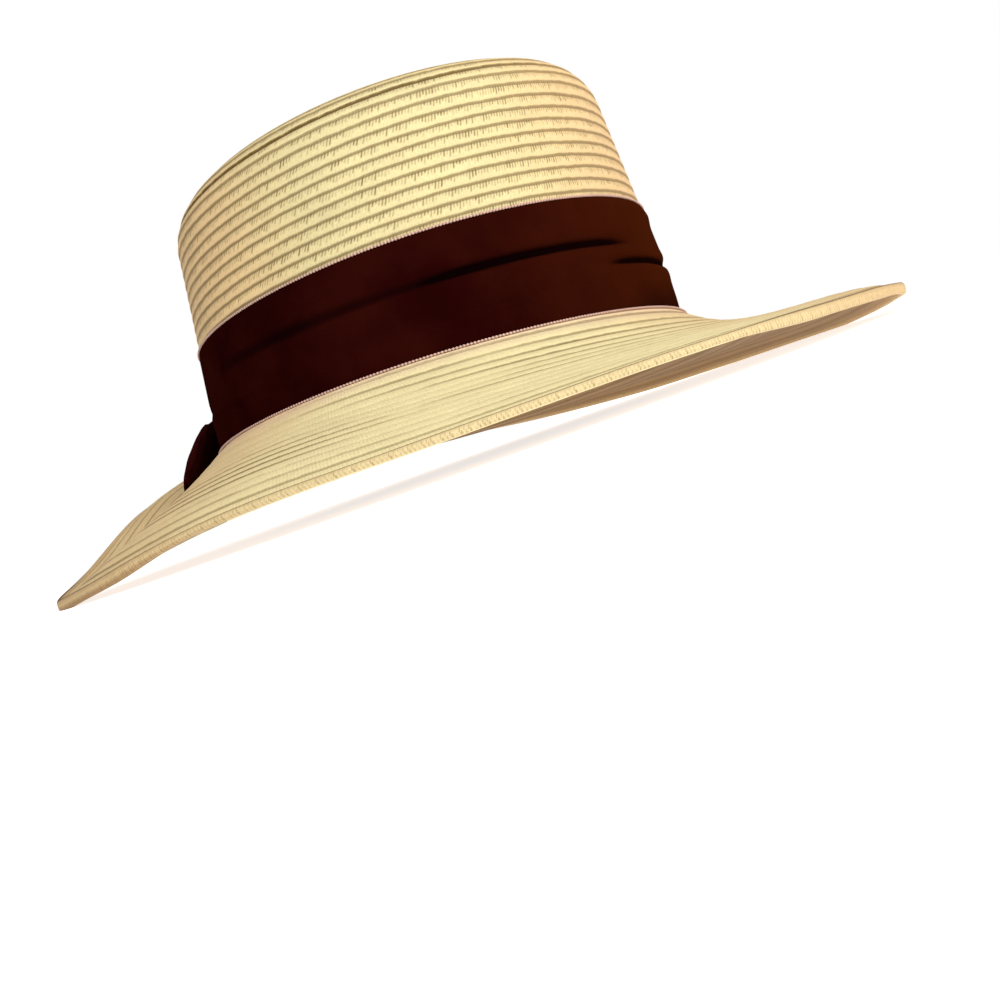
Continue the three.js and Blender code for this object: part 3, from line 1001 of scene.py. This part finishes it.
# %% [markdown]
# ## Straw
# Pale straw has a warm cream colour with a low sheen. At the front it is painted a greener cream,
# as painted light.
# A flat colour would look like plastic. So each strand's grain brightens and darkens it, the
# ticks and the painted shade of the grooves are laid over that, and one recipe serves for the
# crown, which shows its ticks, the brim, which is pressed smooth, and the inner faces, which are
# painted darker and browner as painted shade.

# %% The straw materials
TICK_PITCH = 1.1
TICK_SLANT = -1.5


def front_lit_tint(material, place, patches, warm, cream):
    """Painted light: warm straw that turns cream where the front's light is painted on, in soft
    patches.
    """
    patch = times(material, noise(material, place, patches), 0.5)
    share = smooth(material, plus(material, patch, painted(material, "front_light")), 0.1, 1.1)
    return mix(material, share, warm, cream)


def straw_material(name, tick_strength, groove_strength, groove_width, cream, warm):
    material, shader = new_material(name)
    along, across = braid_map(material)
    # Painted light: the front is painted a greener cream and the rest a warmer straw.
    tint = front_lit_tint(material, place_on(material), 14.0, warm, cream)
    tint = stained(material, tint, "blush", 0.5, colour(226, 196, 172))
    phase, tick = ticks(material, along, across, TICK_PITCH, TICK_SLANT)
    tick = times(material, tick, tick_strength)
    tint = mix(material, tick, tint, colour(116, 96, 52))
    # Painted shade: the groove between two rows is painted dark brown.
    groove = painted_groove_shade(material, along, across, groove_width)
    tint = mix(material, times(material, groove, groove_strength), tint, colour(100, 78, 32))
    fibres = node(material, "ShaderNodeCombineXYZ", {
        "X": times(material, phase, 1.1), "Y": times(material, across, 3.0)}).outputs["Vector"]
    grain = noise(material, fibres, 1.5, 4.0, 0.7)
    length = noise_along(material, along, 0.03, 3.0, 0.6)
    shade = plus(material, times(material, grain, 0.60), times(material, length, 0.36))
    tint = brightened(material, tint, plus(material, shade, 0.49))
    strands = times(material, maths(material, "SINE", times(material, phase, 2 * math.pi)), 0.2)
    raised = plus(material, strands, times(material, grain, 0.9))
    return finish(material, shader, tint, maths(material, "SUBTRACT", raised, tick),
                  bump=0.6, depth=0.0002, roughness=0.62, gloss=0.3)


crown_straw = straw_material("crown_straw", 0.95, 0.68, 0.17, colour(208, 197, 150),
                             colour(218, 186, 139))
brim_straw = straw_material("brim_straw", 0.10, 0.66, 0.17, colour(232, 220, 172),
                            colour(222, 193, 145))
# Painted shade: the inner faces are a darker, browner copy of the straw, for the shade under the
# brim and in the crown.
shaded_inner_straw = straw_material("shaded_inner_straw", 0.05, 0.30, 0.16, colour(163, 135, 97),
                             colour(157, 125, 86))
for piece, outer_straw in ((crown, crown_straw), (brim, brim_straw)):
    piece.material_slots[0].material = outer_straw
    piece.material_slots[1].material = shaded_inner_straw
print("straw materials:", crown_straw.name, brim_straw.name, shaded_inner_straw.name)

# %% [markdown]
# ## The edge braid's straw
# The edge's strands are light. Between them the clefts are painted dark, along the top the
# seam where it meets the brim is painted dark, and the underside is painted browner: all three
# are painted shade. A repeating pattern could give the clefts, but it would slide off the
# modelled ones. The numbers painted on the mesh put each mark exactly on its shape.

# %% The edge braid's material
def edge_material(name):
    material, shader = new_material(name)
    place = place_on(material)
    # Painted light: the front is painted a greener cream and the rest a warmer straw.
    tint = front_lit_tint(material, place, 60.0, colour(200, 171, 127), colour(204, 187, 143))
    # Painted shade: the clefts between strands are painted dark brown.
    tint = stained(material, tint, "cleft", 0.9, colour(112, 82, 42))
    # Painted shade: the rolled underside at the wearer's front right is painted browner.
    tint = stained(material, tint, "underside_shade", 0.75, colour(116, 78, 36))
    # Painted shade: the seam's gap along the top is painted dark brown.
    tint = stained(material, tint, "groove", 1.0, colour(84, 56, 28))
    grain = noise(material, place, 900.0, 3.0, 0.65)
    tint = brightened(material, tint, spread(material, grain, 0.75, 0.5))
    return finish(material, shader, tint, grain, bump=0.5, depth=0.0002, roughness=0.65,
                  gloss=0.3)


edge_straw = edge_material("edge_straw")
hem.data.materials.clear()
hem.data.materials.append(edge_straw)
print("edge material:", edge_straw.name)

# %% [markdown]
# ## Dark cloth
# The band and bow are one matte cloth, a brown so dark that it is nearly black, with a red
# cast. It is soft like velvet, with hardly any gloss. Real pile would be millions of hairs, so
# a faint sheen stands for it. Its creases are painted nearly black as painted shade, and the
# band's side at the wearer's left is painted browner as painted light, both by formula.

# %% The cloth materials
WARP_WAVES = 9.0
WEFT_WAVES = 360.0


def cloth_material(name, deep, light, glow):
    material, shader = new_material(name)
    along, across = braid_map(material)
    place = place_on(material)
    blotches = smooth(material, noise(material, place, 26.0, 4.0, 0.6), 0.35, 0.7)
    tint = mix(material, blotches, deep, light)
    # Painted light: the band's side at the wearer's left is painted browner.
    tint = stained(material, tint, "side_light", 0.65, colour(66, 26, 6))
    # Painted shade: the creases are painted nearly black.
    tint = stained(material, tint, "crease", 0.93, colour(4, 1, 2))
    warp = maths(material, "SINE", times(material, along, WARP_WAVES))
    weft = maths(material, "SINE", times(material, across, WEFT_WAVES))
    weave = times(material, times(material, warp, weft), 0.4)
    fuzz = noise(material, place, 1600.0, 2.0, 0.6)
    shader.inputs["Sheen Weight"].default_value = 0.03
    shader.inputs["Sheen Roughness"].default_value = 0.4
    shader.inputs["Sheen Tint"].default_value = glow
    return finish(material, shader, tint, plus(material, weave, fuzz), bump=0.35,
                  depth=0.00015, roughness=0.95, gloss=0.0)


band_cloth = cloth_material("dark_band_cloth", colour(27, 2, 3), colour(40, 8, 5),
                            colour(96, 44, 24))
bow_cloth = cloth_material("dark_bow_cloth", colour(34, 6, 6), colour(60, 15, 16),
                           colour(70, 24, 30))
for piece, cloth in ((band, band_cloth), (loop_front, bow_cloth), (loop_back, bow_cloth),
                     (knot, bow_cloth)):
    piece.data.materials.clear()
    piece.data.materials.append(cloth)
print("cloth materials:", band_cloth.name, bow_cloth.name)

# %% [markdown]
# ## Pink thread
# The thread is a dull pinkish cotton. The beads are already modelled, so it only needs a plain
# colour with some grain, and a darker pink in the gaps, where little light gets in.

# %% The thread's material
def thread_material(name):
    material, shader = new_material(name)
    grain = noise(material, place_on(material), 700.0)
    tint = mix(material, grain, colour(196, 158, 148), colour(226, 196, 184))
    tint = stained(material, tint, "gap", 0.8, colour(112, 74, 62))
    return finish(material, shader, tint, grain, bump=0.3, depth=0.0001, roughness=0.7,
                  gloss=0.5)


pink_thread = thread_material("pink_thread")
thread_top.data.materials.append(pink_thread)
thread_foot.data.materials.append(pink_thread)
print("thread material:", pink_thread.name)

# %% [markdown]
# ## Floor and sky
# The hat lies on a plain floor that reads as a white studio. A floor lit by lamps alone would
# look grey, so this one glows a little. The sky is pure white where the camera sees it, and
# softer and warmer where it lights the straw.

# %% Lay the floor and the sky
WHITE = (1, 1, 1, 1)
FLOOR_GLOW = 0.7
SKY_WARMTH = (1.0, 0.95, 0.88, 1)
SKY_STRENGTH = 0.42
deselect_all()
bpy.ops.mesh.primitive_plane_add(size=3, location=(0, 0, 0))
floor = bpy.context.object
floor.name = "studio_floor"
floor_material, floor_shader = new_material("pale_floor")
floor_shader.inputs["Base Color"].default_value = (0.92, 0.92, 0.92, 1)
floor_shader.inputs["Roughness"].default_value = 0.9
floor_shader.inputs["Specular IOR Level"].default_value = 0.1
floor_shader.inputs["Emission Color"].default_value = WHITE
floor_shader.inputs["Emission Strength"].default_value = FLOOR_GLOW
floor.data.materials.append(floor_material)

scene = bpy.context.scene
world = bpy.data.worlds.new("studio")
scene.world = world
world.use_nodes = True
sky = world.node_tree.nodes
backdrop = sky["Background"]
backdrop.inputs["Color"].default_value = WHITE
backdrop.inputs["Strength"].default_value = 1.0
soft_sky = sky.new("ShaderNodeBackground")
soft_sky.inputs["Color"].default_value = SKY_WARMTH
soft_sky.inputs["Strength"].default_value = SKY_STRENGTH
seen = sky.new("ShaderNodeLightPath")
choice = sky.new("ShaderNodeMixShader")
links = world.node_tree.links
links.new(seen.outputs["Is Camera Ray"], choice.inputs[0])
links.new(soft_sky.outputs[0], choice.inputs[1])
links.new(backdrop.outputs[0], choice.inputs[2])
links.new(choice.outputs[0], sky["World Output"].inputs["Surface"])
scene.view_settings.view_transform = "Standard"
print("floor and sky:", floor.name, world.name)

# %% [markdown]
# ## Lamps
# A wide soft lamp from behind the camera gives the straw its even light. Two weak warm ones,
# from the side and from low in front, reach under the brim. A single hard lamp would cut the
# brim's underside off in black.

# %% Hang the lamps
def soft_light(name, place, aim, size, power, tint):
    """A round lamp at a place, turned towards an aim. Lengths in metres, power in watts."""
    lamp = bpy.data.lights.new(name, "AREA")
    lamp.shape = "DISK"
    lamp.size = size
    lamp.energy = power
    lamp.color = tint
    holder = bpy.data.objects.new(name, lamp)
    scene.collection.objects.link(holder)
    holder.location = place
    holder.rotation_mode = "QUATERNION"
    holder.rotation_quaternion = (Vector(aim) - Vector(place)).to_track_quat("-Z", "Y")


LAMPS = [
    # name, place, aim, size, power, tint
    ("key_light", (0.95, -0.85, 1.15), (0, 0, 0.06), 0.8, 19, (1.0, 0.98, 0.94)),
    ("right_light", (1.3, 0.1, 0.35), (0.05, 0, 0.06), 0.6, 5, (1.0, 0.86, 0.72)),
    ("low_light", (0.35, -1.3, 0.12), (0, -0.05, 0.02), 0.5, 2.5, (1.0, 0.88, 0.74)),
]
for lamp_row in LAMPS:
    soft_light(*lamp_row)
print("lamps:", len(LAMPS))

# %% [markdown]
# ## Camera
# The camera is low and turned about its own axis, so the hat leans in the picture. The hat
# could be tipped instead, but then it would no longer rest on the floor.

# %% Place the camera
LENS = 54.285
CAMERA_PLACE = Vector((0.22907, -0.50121, 0.00764))
CAMERA_WAY = Vector((-0.4209, 0.9060, -0.0448))
CAMERA_ROLL = math.radians(-19.663)
camera_data = bpy.data.cameras.new("camera")
camera = bpy.data.objects.new("camera", camera_data)
scene.collection.objects.link(camera)
scene.camera = camera
camera_data.sensor_width = 36.0
camera_data.lens = LENS
camera_data.clip_start = 0.01
camera.location = CAMERA_PLACE
camera.rotation_mode = "QUATERNION"
camera_turn = Quaternion((0, 0, 1), CAMERA_ROLL)
camera.rotation_quaternion = CAMERA_WAY.to_track_quat("-Z", "Y") @ camera_turn
bpy.context.view_layer.update()
print("camera's right side points to", [round(x, 4) for x in camera.matrix_world.col[0][:3]])
